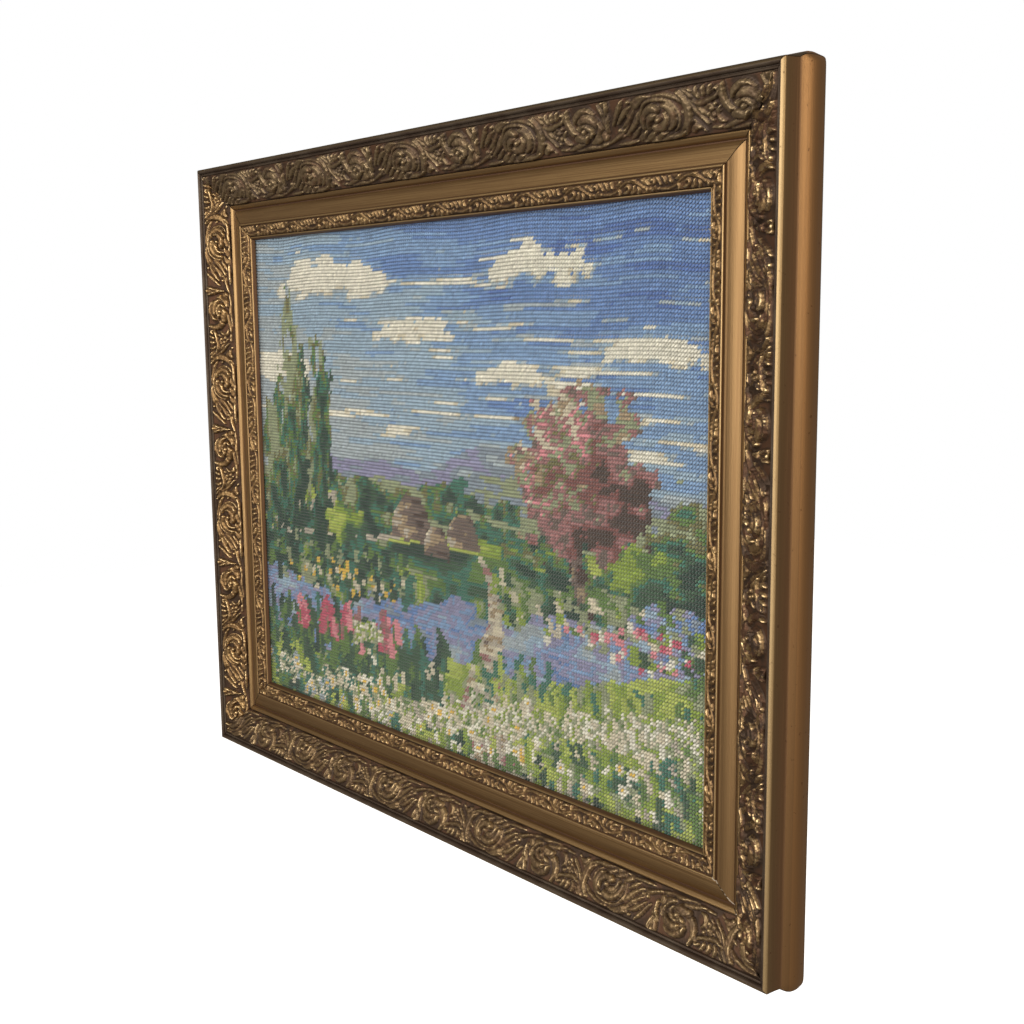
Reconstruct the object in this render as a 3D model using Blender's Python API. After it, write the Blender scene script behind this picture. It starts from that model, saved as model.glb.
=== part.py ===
"""Framed needlepoint picture: a stretched canvas in a gilt frame of four mitred rails with raised scrolls.

Metres, +Z up, the picture faces -Y and its back lies in the plane Y = 0.
The origin is the point on the back of the top rail, at mid length, where the picture bears on its wall.
"""
import math

import bmesh
import bpy
from mathutils import Vector

MM = 0.001

# Driving sizes, in millimetres
SIGHT_WIDTH = 498.0          # canvas seen inside the frame
SIGHT_HEIGHT = 383.0
RAIL_WIDTH = 67.3            # sight edge to the outermost line of the back roll
RAIL_DEPTH = 35.1            # back plane to the crest of the front ridge
REBATE_WIDTH = 9.0
LIP_UNDERSIDE = 15.8         # height of the lip's underside above the back
RIDGE_RADIUS = 1.9
CANVAS_THICKNESS = 2.0
BOARD_THICKNESS = 3.0
GAP = 0.3                    # left between pieces that touch
BACK_FLAT_END = 60.5         # outer limit of the rail's flat back

# The sloping band that carries the scrolls, as offset from the sight edge and height above the back
BAND_FOOT = (31.2, 21.3)
BAND_HEAD = (56.6, 31.8)

# Raised scrolls
SCROLL_PITCH = 60.0
SCROLL_OUTER = 11.6          # radius of the spiral's middle line where the stem meets it
SCROLL_INNER = 2.9
SCROLL_TURNS = 1.4
SCROLL_HALF_WIDTH = 2.2      # of the spiral's stem at its foot
SCROLL_HEIGHT = 3.2          # crest of the spiral's eye above its seat
SCROLL_STEPS = 20
STEM_ROUTE = ((-44.0, 8.6), (-34.0, -1.0), (-18.0, -12.2), (0.0, -SCROLL_OUTER))
STEM_HALF_WIDTHS = (0.9, 2.3)  # at the stem's tip, and the swelling of its leaf
STEM_HEIGHTS = (1.4, 2.5)      # at the tip and where the spiral starts
STEM_STEPS = 8
CREST_SHARE = 0.45           # width of a scroll's crest against its seat
MITRE_MARGIN = 1.0

FRONT = Vector((0.0, -1.0, 0.0))
MOUNT_OFFSET = (REBATE_WIDTH + BACK_FLAT_END) / 2
SIGHT_CENTRE = Vector((0.0, 0.0, -(SIGHT_HEIGHT / 2 + MOUNT_OFFSET)))

# Each rail: direction along it, direction outward, half the sight along and across it, place of one scroll
RAILS = {
    "top": (Vector((1, 0, 0)), Vector((0, 0, 1)), SIGHT_WIDTH / 2, SIGHT_HEIGHT / 2, 40.0),
    "right": (Vector((0, 0, -1)), Vector((1, 0, 0)), SIGHT_HEIGHT / 2, SIGHT_WIDTH / 2, 51.4),
    "bottom": (Vector((-1, 0, 0)), Vector((0, 0, -1)), SIGHT_WIDTH / 2, SIGHT_HEIGHT / 2, -1.7),
    "left": (Vector((0, 0, 1)), Vector((-1, 0, 0)), SIGHT_HEIGHT / 2, SIGHT_WIDTH / 2, 11.6),
}


def clear_scene():
    for item in list(bpy.data.objects):
        bpy.data.objects.remove(item, do_unlink=True)


def make_material(name, colour, roughness, metallic):
    material = bpy.data.materials.new(name)
    material.use_nodes = True
    shader = material.node_tree.nodes["Principled BSDF"]
    shader.inputs["Base Color"].default_value = (*colour, 1.0)
    shader.inputs["Roughness"].default_value = roughness
    shader.inputs["Metallic"].default_value = metallic
    return material


def make_object(name, points, faces, material):
    """One closed solid from points in millimetres about the sight's centre."""
    mesh = bpy.data.meshes.new(name)
    mesh.from_pydata([point * MM for point in points], [], faces)
    shape = bmesh.new()
    shape.from_mesh(mesh)
    bmesh.ops.recalc_face_normals(shape, faces=shape.faces)
    shape.to_mesh(mesh)
    shape.free()
    mesh.materials.append(material)
    made = bpy.data.objects.new(name, mesh)
    made.location = SIGHT_CENTRE * MM
    bpy.context.collection.objects.link(made)
    return made


def arc(centre, radius, start, end, steps):
    """Points of an arc, with angles in degrees from the outward direction towards the front."""
    angles = [math.radians(start + (end - start) * i / steps) for i in range(steps + 1)]
    return [(centre[0] + radius * math.cos(a), centre[1] + radius * math.sin(a)) for a in angles]


def bend(first, pull, last, steps):
    """Points of a curve from first to last, drawn towards pull, without its first point."""
    points = []
    for i in range(1, steps + 1):
        t = i / steps
        weights = ((1 - t) ** 2, 2 * t * (1 - t), t * t)
        points.append(tuple(sum(w * p[k] for w, p in zip(weights, (first, pull, last))) for k in (0, 1)))
    return points


def rail_section():
    """The moulding's outline, as offset from the sight edge and height above the back."""
    lip = [(0.0, LIP_UNDERSIDE), (0.0, 16.6), (2.9, 19.1), (3.5, 19.4)]
    leaf_slope = [(4.0, 19.2), (11.2, 21.7)]
    inner_bead = arc((12.8, 21.9), 1.4, 180, 0, 6)
    plain_band = [(14.7, 21.4)] + bend((14.7, 21.4), (21.5, 21.5), (26.0, 18.9), 6)
    fillet = [(26.3, 18.2), (27.0, 18.4), (27.6, 20.2), (30.2, 21.6), (30.7, 21.0)]
    scroll_band = [BAND_FOOT, BAND_HEAD]
    fine_line = [(56.7, 32.5), (57.8, 33.1), (58.4, 32.2), (58.7, 32.2)]
    ridge = arc((60.65, RAIL_DEPTH - RIDGE_RADIUS), RIDGE_RADIUS, 175, 5, 8)
    cove = bend(ridge[-1], (62.6, 26.5), (63.6, 23.2), 4)
    roll_front = [(64.3, 22.4), (65.4, 21.6)] + bend((65.4, 21.6), (67.1, 19.4), (RAIL_WIDTH, 15.0), 4)
    roll_side = [(RAIL_WIDTH, 9.0)]
    roll_back = bend(roll_side[-1], (RAIL_WIDTH, 0.8), (BACK_FLAT_END, 0.0), 5)
    rebate = [(REBATE_WIDTH, 0.0), (REBATE_WIDTH, LIP_UNDERSIDE)]
    return (lip + leaf_slope + inner_bead + plain_band + fillet + scroll_band + fine_line
            + ridge + cove + roll_front + roll_side + roll_back + rebate)


def make_rail(side, material):
    along, outward, half_along, half_across, _ = RAILS[side]
    section = rail_section()
    count = len(section)
    mitre_gap = GAP / 2 * math.sqrt(2)
    points = []
    for end in (-1, 1):
        for offset, height in section:
            reach = end * (half_along + offset - mitre_gap)
            points.append(along * reach + outward * (half_across + offset) + FRONT * height)
    faces = [tuple(range(count)), tuple(range(count, 2 * count))]
    for i in range(count):
        j = (i + 1) % count
        faces.append((i, j, count + j, count + i))
    return make_object("rail_" + side, points, faces, material)


def make_sheet(name, back, thickness, material):
    """A flat sheet that fills the rebate behind the lip."""
    reach = REBATE_WIDTH - GAP
    half_width = SIGHT_WIDTH / 2 + reach
    half_height = SIGHT_HEIGHT / 2 + reach
    corners = [(-1, -1), (1, -1), (1, 1), (-1, 1)]
    points = [Vector((x * half_width, -height, z * half_height))
              for height in (back, back + thickness) for x, z in corners]
    faces = [(0, 1, 2, 3), (4, 5, 6, 7)]
    for i in range(4):
        j = (i + 1) % 4
        faces.append((i, j, 4 + j, 4 + i))
    return make_object(name, points, faces, material)


def scroll_path(hand):
    """Middle line of a stem that curls into a spiral about (0, 0), with its half width and height."""
    tip, swelling = STEM_HALF_WIDTHS
    low, high = STEM_HEIGHTS
    path = []
    for i in range(STEM_STEPS):
        t = i / STEM_STEPS
        weights = ((1 - t) ** 3, 3 * t * (1 - t) ** 2, 3 * t * t * (1 - t), t ** 3)
        u, v = (sum(w * p[k] for w, p in zip(weights, STEM_ROUTE)) for k in (0, 1))
        leaf = math.sin(math.pi * t) ** 0.8 if i else 0.0
        half_width = tip + (SCROLL_HALF_WIDTH - tip) * t + (swelling - tip) * leaf
        path.append((u, hand * v, half_width, low + (high - low) * t))
    for i in range(SCROLL_STEPS + 1):
        t = i / SCROLL_STEPS
        angle = -math.pi / 2 + 2 * math.pi * SCROLL_TURNS * t
        radius = SCROLL_OUTER + (SCROLL_INNER - SCROLL_OUTER) * t
        eye = max(0.0, t - 0.85) / 0.15
        half_width = SCROLL_HALF_WIDTH - 0.6 * t + 0.8 * eye
        height = high + (SCROLL_HEIGHT - high) * t
        path.append((radius * math.cos(angle), hand * radius * math.sin(angle), half_width, height))
    return path


def inside_mitre(side, centre, point):
    """Whether a point of a scroll's path lies clear of the mitre behind it."""
    _, _, half_along, _, _ = RAILS[side]
    u, v, half_width, _ = point
    slope = (Vector(BAND_HEAD) - Vector(BAND_FOOT)).normalized()
    offset = (BAND_FOOT[0] + BAND_HEAD[0]) / 2 + v * slope.x
    return centre + u > -(half_along + offset) + half_width * math.sqrt(2) + MITRE_MARGIN


def make_scroll(side, number, centre, hand, material):
    """A raised scroll: a tapering stem of four-sided section, seated on the band."""
    along, outward, _, half_across, _ = RAILS[side]
    slope = (Vector(BAND_HEAD) - Vector(BAND_FOOT)).normalized()
    middle = (Vector(BAND_HEAD) + Vector(BAND_FOOT)) / 2
    across = outward * slope.x + FRONT * slope.y
    normal = FRONT * slope.x - outward * slope.y
    seat = along * centre + outward * (half_across + middle.x) + FRONT * middle.y + normal * GAP
    path = [point for point in scroll_path(hand) if inside_mitre(side, centre, point)]
    points = []
    for i, (u, v, half_width, height) in enumerate(path):
        before = path[max(i - 1, 0)]
        after = path[min(i + 1, len(path) - 1)]
        run = Vector((after[0] - before[0], after[1] - before[1])).normalized()
        side_step = Vector((-run.y, run.x))
        for shift, lift in ((-1.0, 0.0), (1.0, 0.0), (CREST_SHARE, height), (-CREST_SHARE, height)):
            place = Vector((u, v)) + side_step * shift * half_width
            points.append(seat + along * place.x + across * place.y + normal * lift)
    last = len(points) - 4
    faces = [(0, 1, 2, 3), (last, last + 1, last + 2, last + 3)]
    for ring in range(0, last, 4):
        for i in range(4):
            j = (i + 1) % 4
            faces.append((ring + i, ring + j, ring + 4 + j, ring + 4 + i))
    return make_object("scroll_%s_%d" % (side, number), points, faces, material)


def make_scrolls(side, material):
    """Every scroll of a rail whose spiral stands whole between the two mitres."""
    _, _, half_along, _, phase = RAILS[side]
    band_middle = (BAND_FOOT[0] + BAND_HEAD[0]) / 2
    rim = SCROLL_OUTER + SCROLL_HALF_WIDTH + MITRE_MARGIN
    limit = half_along + band_middle - rim * math.sqrt(2)
    most = math.ceil(limit / SCROLL_PITCH) + 1
    number = 0
    for step in range(-most, most + 1):
        centre = phase + step * SCROLL_PITCH
        if abs(centre) > limit:
            continue
        number += 1
        make_scroll(side, number, centre, 1 if step % 2 == 0 else -1, material)


def main():
    clear_scene()
    gilt = make_material("gilt", (0.30, 0.18, 0.075), 0.38, 0.75)
    scroll_gilt = make_material("scroll_gilt", (0.36, 0.22, 0.10), 0.35, 0.8)
    yarn = make_material("needlepoint_yarn", (0.30, 0.40, 0.42), 0.95, 0.0)
    board = make_material("board", (0.22, 0.13, 0.07), 0.85, 0.0)
    canvas_back = LIP_UNDERSIDE - GAP - CANVAS_THICKNESS
    for side in RAILS:
        make_rail(side, gilt)
        make_scrolls(side, scroll_gilt)
    make_sheet("needlepoint_canvas", canvas_back, CANVAS_THICKNESS, yarn)
    make_sheet("backing_board", canvas_back - GAP - BOARD_THICKNESS, BOARD_THICKNESS, board)


main()
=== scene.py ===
"""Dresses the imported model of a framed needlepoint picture.

The picture hangs in the plane Y = 0 and faces -Y. Sizes below are in millimetres and are measured as the
mouldings are: along a rail, outward from the sight edge (offset), and forward from the picture's flat back
(height).
"""
import math

import bmesh
import bpy
import numpy as np
from mathutils import Matrix, Vector


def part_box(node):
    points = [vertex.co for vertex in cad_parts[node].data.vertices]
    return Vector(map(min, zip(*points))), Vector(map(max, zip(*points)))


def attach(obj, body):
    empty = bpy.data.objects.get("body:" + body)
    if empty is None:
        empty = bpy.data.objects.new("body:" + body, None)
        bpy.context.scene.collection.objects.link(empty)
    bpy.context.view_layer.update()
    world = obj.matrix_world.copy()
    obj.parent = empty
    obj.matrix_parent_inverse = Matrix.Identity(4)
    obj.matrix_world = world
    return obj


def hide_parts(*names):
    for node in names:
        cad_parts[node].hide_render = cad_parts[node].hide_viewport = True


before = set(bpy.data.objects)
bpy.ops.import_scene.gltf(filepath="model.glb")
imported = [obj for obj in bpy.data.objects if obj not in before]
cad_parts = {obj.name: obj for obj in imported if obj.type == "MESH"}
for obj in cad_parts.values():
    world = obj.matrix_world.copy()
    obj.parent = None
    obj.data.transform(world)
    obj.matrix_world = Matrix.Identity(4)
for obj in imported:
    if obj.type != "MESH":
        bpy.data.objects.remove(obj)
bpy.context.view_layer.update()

MM = 0.001

# The opening that the rails leave for the needlework, from the canvas node and how far the rebate covers it.
REBATE_COVER = 8.7
canvas_low, canvas_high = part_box("needlepoint_canvas")
SIGHT_CENTRE = np.array((canvas_low + canvas_high) / 2) * (1, 0, 1) / MM
HALF_WIDTH = (canvas_high.x - canvas_low.x) / 2 / MM - REBATE_COVER
HALF_HEIGHT = (canvas_high.z - canvas_low.z) / 2 / MM - REBATE_COVER

# Each rail: direction along it, direction outward, half the sight along and across it, place of one scroll.
RAILS = {
    "top": ((1, 0, 0), (0, 0, 1), HALF_WIDTH, HALF_HEIGHT, 40.0),
    "right": ((0, 0, -1), (1, 0, 0), HALF_HEIGHT, HALF_WIDTH, 51.4),
    "bottom": ((-1, 0, 0), (0, 0, -1), HALF_WIDTH, HALF_HEIGHT, -1.7),
    "left": ((0, 0, 1), (-1, 0, 0), HALF_HEIGHT, HALF_WIDTH, 11.6),
}
# How much dust dulls the ornament of each rail, and how much of its gold is lost or dull; both carry painted
# shade.
RAIL_DUST_AND_SHADE = {"top": 1.0, "right": 0.3, "bottom": 0.65, "left": 0.0}
LOST_GOLD_AND_SHADE = {"top": 0.2, "right": 0.9, "bottom": 0.3, "left": 0.2}
MOULDING_KEEPS = 0.2         # of the lost gold and painted shade, the part that doesn't show on the plain moulding
LEAF_DUST_AND_SHADE_SHARE = 0.3        # of the rail's dust and painted shade, on its leaf strip
LEAF_LOST_GOLD = 0.15
MITRE_GAP = 0.212            # from a rail's end to the mitre's middle, along the rail
CORNER_REACH = 6.0           # of the rub round an outer corner
CORNER_RUB = 1.0             # depth of that rub, and at the top right
TOP_RIGHT_RUB = 2.2
RUBBED_HEIGHT = 20.0         # above it the rub also lowers the corner

# The moulding's section, as (offset, height) points.
LIP_UNDERSIDE = 15.8
REBATE_WIDTH = 9.0
RAIL_WIDTH = 67.0
BACK_FLAT_END = 60.5
RAIL_STATIONS = 56
MITRE_STATIONS = (0, 0.7, 1.5, 2.4, 3.6, 5.2, 7.4, 10.5)     # distances from the mitre
SHARP_ANGLE = 32
LEAF_FOOT = (3.5, 19.0)
LEAF_HEAD = (12.2, 22.0)
BAND_FOOT = (31.2, 21.3)
BAND_HEAD = (56.6, 31.8)

# Running ornament: two scrolls of the wide band, and one wave of the narrow leaf strip.
SCROLL_PERIOD = 120.0
SECOND_SCROLL = 60.0
LEAF_PERIOD = 46.5
TILE_STEP = 0.25
FAR = 9.0                    # stands for a place that no stroke reaches
LOBE_LENGTH = 2.6
GROUND_REACH = 22            # tile steps to either side in which the ground's lowest place is sought
GROUND_BLUR = 8
HOLLOW_BLUR = 6
SCROLL_MOUNDS = [(0, 12.6, 13.5, 2.0), (61.5, 12.8, 12.5, 2.0)]      # along, across, radius, rise

# Needlework.
STITCH_PITCH = 2.5
CANVAS_BACK = 13.5
CANVAS_FACE = 14.3
STITCH_CREST = 15.35
STITCH_LENGTH = 3.3
STITCH_WIDTH = 2.15
STITCH_LEAN = 37
STITCH_UNEVENNESS = 0.05
HIDDEN_STITCHES = 3          # rows and columns under the lip on each side
DYE_BY_STITCH = 0.09
DYE_BY_ROW = 0.03
RIM_SOIL_AND_SHADE = 0.5               # darkening of the yarn at the lip: soil and painted shade of the lip
RIM_SOIL_AND_SHADE_REACH = 2.2

# Places between which the top rows droop, how deep, and how far down that fades out.
SAG_CRESTS = (-260.0, -160.0, -41.0, 93.0, 203.0, 290.0)
SAG_DEPTHS = (2.0, 2.4, 2.8, 2.6, 5.5)
SAG_FADE = 60

# The stitches' baking map: its margin, the height of the strip for hidden backs, and where the fronts start.
MAP_MARGIN = 0.002
BACK_STRIP = 0.036
FRONTS_START = 0.044

CAMERA_PLACE = (0.7307, -0.5859, -0.1049)
CAMERA_FORWARD = (-0.7456, 0.65041, -0.14497)
CAMERA_UP = (-0.10306, 0.10292, 0.98934)
CAMERA_LENS = 45.432
SENSOR_WIDTH = 36.0
FLOOR_HEIGHT = -1.45
FLOOR_REACH = 6
WHITE = (1, 1, 1, 1)
ROOM_LIGHT = (0.24, 0.215, 0.19, 1)

# Area lights: place, target, width and height in metres, power, colour.
LIGHTS = {
    "window": ((0.6, -2.3, 0.4), (0.15, 0, 0.1), 2.9, 2.0, 92, (1.0, 0.965, 0.91)),
    "room": ((2.4, -0.9, 0.0), (0.3, 0, -0.2), 1.5, 2.0, 4, (1.0, 0.86, 0.7)),
    "doorway": ((2.36, -0.2, 0.55), (0.32, 0, 0.1), 0.3, 1.6, 18, (1.0, 0.85, 0.67)),
}


# Places on a rail

def rail_points(side, along, offset, height):
    """Points in metres for arrays of places along, outward and forward on one rail."""
    along_way, outward_way, _, half_across, _ = RAILS[side]
    along, offset, height = np.broadcast_arrays(along, offset, height)
    points = SIGHT_CENTRE + along[..., None] * np.array(along_way)
    points = points + (half_across + offset)[..., None] * np.array(outward_way)
    return (points + height[..., None] * np.array((0, -1, 0))) * MM


def reach(side, offset):
    """Half the rail's length at an offset, up to its mitre."""
    return RAILS[side][2] + offset - MITRE_GAP


def mesh_piece(name, points, faces, values=None):
    """A new object from points and faces, with float attributes: a number for each point or one for all."""
    mesh = bpy.data.meshes.new(name)
    mesh.from_pydata(np.asarray(points).tolist(), [], faces)
    for value_name, numbers in (values or {}).items():
        attribute = mesh.attributes.new(value_name, "FLOAT", "POINT")
        for_all = np.broadcast_to(np.ravel(numbers), len(points))
        attribute.data.foreach_set("value", for_all.astype(np.float32))
    mesh.update()
    piece = bpy.data.objects.new(name, mesh)
    bpy.context.scene.collection.objects.link(piece)
    return piece


def face_outwards(piece):
    """Turns every face of a closed piece outwards."""
    shape = bmesh.new()
    shape.from_mesh(piece.data)
    bmesh.ops.recalc_face_normals(shape, faces=shape.faces)
    shape.to_mesh(piece.data)
    shape.free()


# Mouldings

def arc(centre, radius, start, end, steps):
    angles = np.radians(np.linspace(start, end, steps + 1))
    return [(centre[0] + radius * math.cos(a), centre[1] + radius * math.sin(a)) for a in angles]


def bend(start, pull, end, steps):
    """A smooth bend from start to end, drawn towards pull, without its first point."""
    way = [i / steps for i in range(1, steps + 1)]
    return [tuple((1 - t) ** 2 * a + 2 * t * (1 - t) * b + t * t * c for a, b, c in zip(start, pull, end))
            for t in way]


def moulding_section():
    """The closed section of a rail from the sight edge round to the rebate."""
    lip = [(0.7, LIP_UNDERSIDE), (0.9, 16.4), (1.6, 18.2), (1.95, 18.9), (2.4, 19.3), (2.9, 19.3)]
    leaf_ground = [(3.2, 18.9), (3.5, 18.5), (12.1, 21.4)]
    inner_bead = arc((13.55, 21.9), 0.95, 195, -10, 10)
    plain_band = [(14.7, 21.2), (15.0, 21.4), (15.9, 21.55), (16.3, 21.4)]
    plain_band += bend((16.3, 21.4), (22.6, 21.7), (26.0, 18.9), 14)
    fillet = [(26.2, 18.3), (26.8, 18.3), (27.2, 18.9), (27.5, 19.9)]
    fillet += [(27.9, 20.5), (30.0, 21.5), (30.5, 21.4), (30.8, 20.9)]
    scroll_ground = [(31.1, 20.7), (56.6, 31.2)]
    fine_line = [(56.7, 32.3), (57.0, 32.8), (57.7, 33.1), (58.1, 32.8), (58.4, 32.2), (58.75, 32.2)]
    ridge = [(58.8, 33.3), (58.95, 34.0), (59.3, 34.6), (59.75, 34.95), (60.2, 35.08), (60.65, 35.0)]
    ridge += [(61.15, 34.77), (61.65, 34.45), (62.1, 34.08), (62.38, 33.65), (62.5, 33.1)]
    cove = bend(ridge[-1], (62.6, 26.5), (63.0, 22.6), 12)
    roll = arc((RAIL_WIDTH - 15, 12.0), 15, 42, -16, 22)
    roll += bend(roll[-1], (65.4, 0.5), (BACK_FLAT_END, 0.0), 10)
    rebate = [(REBATE_WIDTH, 0.0), (REBATE_WIDTH, LIP_UNDERSIDE)]
    return (lip + leaf_ground + inner_bead + plain_band + fillet + scroll_ground + fine_line + ridge
            + cove + roll + rebate)


def soften_corners(points):
    """Rubs the frame's outer corners round along their diagonals, most of all at the top right."""
    outer = np.array((HALF_WIDTH + RAIL_WIDTH, HALF_HEIGHT + RAIL_WIDTH))
    flat = points[..., [0, 2]] / MM - SIGHT_CENTRE[[0, 2]]
    near = np.clip(1 - (outer - abs(flat)) / CORNER_REACH, 0, 1)
    depth = np.where((flat > 0).all(-1), TOP_RIGHT_RUB, CORNER_RUB)
    rub = (near[..., 0] * near[..., 1]) ** 1.5 * depth * MM
    moved = points.copy()
    moved[..., [0, 2]] -= np.sign(flat) * rub[..., None]
    moved[..., 1] += rub * 0.5 * (points[..., 1] < -RUBBED_HEIGHT * MM)
    return moved


def stations_along(middle_reach, count):
    """Shares from -1 to 1 along a rail, closer together near the mitres."""
    ends = 1 - np.array(MITRE_STATIONS) / middle_reach
    inner = np.linspace(-ends[-1], ends[-1], count)
    return np.concatenate([-ends[:-1], inner, ends[-2::-1]])


def build_moulding(side):
    """One rail: the section swept between its two mitres."""
    section = np.array(moulding_section())
    count = len(section)
    share = stations_along(reach(side, 40), RAIL_STATIONS)[:, None]
    stations = len(share)
    along = share * reach(side, section[None, :, 0])
    offset = np.broadcast_to(section[None, :, 0], along.shape)
    height = np.broadcast_to(section[None, :, 1], along.shape)
    points = soften_corners(rail_points(side, along, offset, height)).reshape(-1, 3)
    faces = [(i * count + j, i * count + (j + 1) % count,
              (i + 1) * count + (j + 1) % count, (i + 1) * count + j)
             for i in range(stations - 1) for j in range(count)]
    faces += [tuple(range(count)), tuple(range((stations - 1) * count, stations * count))]
    joint = np.zeros(along.shape)
    joint[[0, -1]] = 1.0
    gesso = np.zeros(along.shape)
    if side in ("right", "bottom"):
        gesso[-1 if side == "right" else 0] = 1.0
    values = {"along": along, "offset": offset, "height": height, "joint": joint, "gesso": gesso,
              "dust_and_shade": RAIL_DUST_AND_SHADE[side], "lost_gold_and_shade": LOST_GOLD_AND_SHADE[side] - MOULDING_KEEPS}
    piece = mesh_piece("moulding_" + side, points, faces, values)
    face_outwards(piece)
    piece.data.shade_smooth()
    piece.data.set_sharp_from_angle(angle=math.radians(SHARP_ANGLE))
    return piece


# Relief ornament

def berry(along, across, half, height):
    """A round stroke."""
    return [along, across, round(along + 0.2, 1), round(across + 0.1, 1)], [half, half], height, 0


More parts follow.
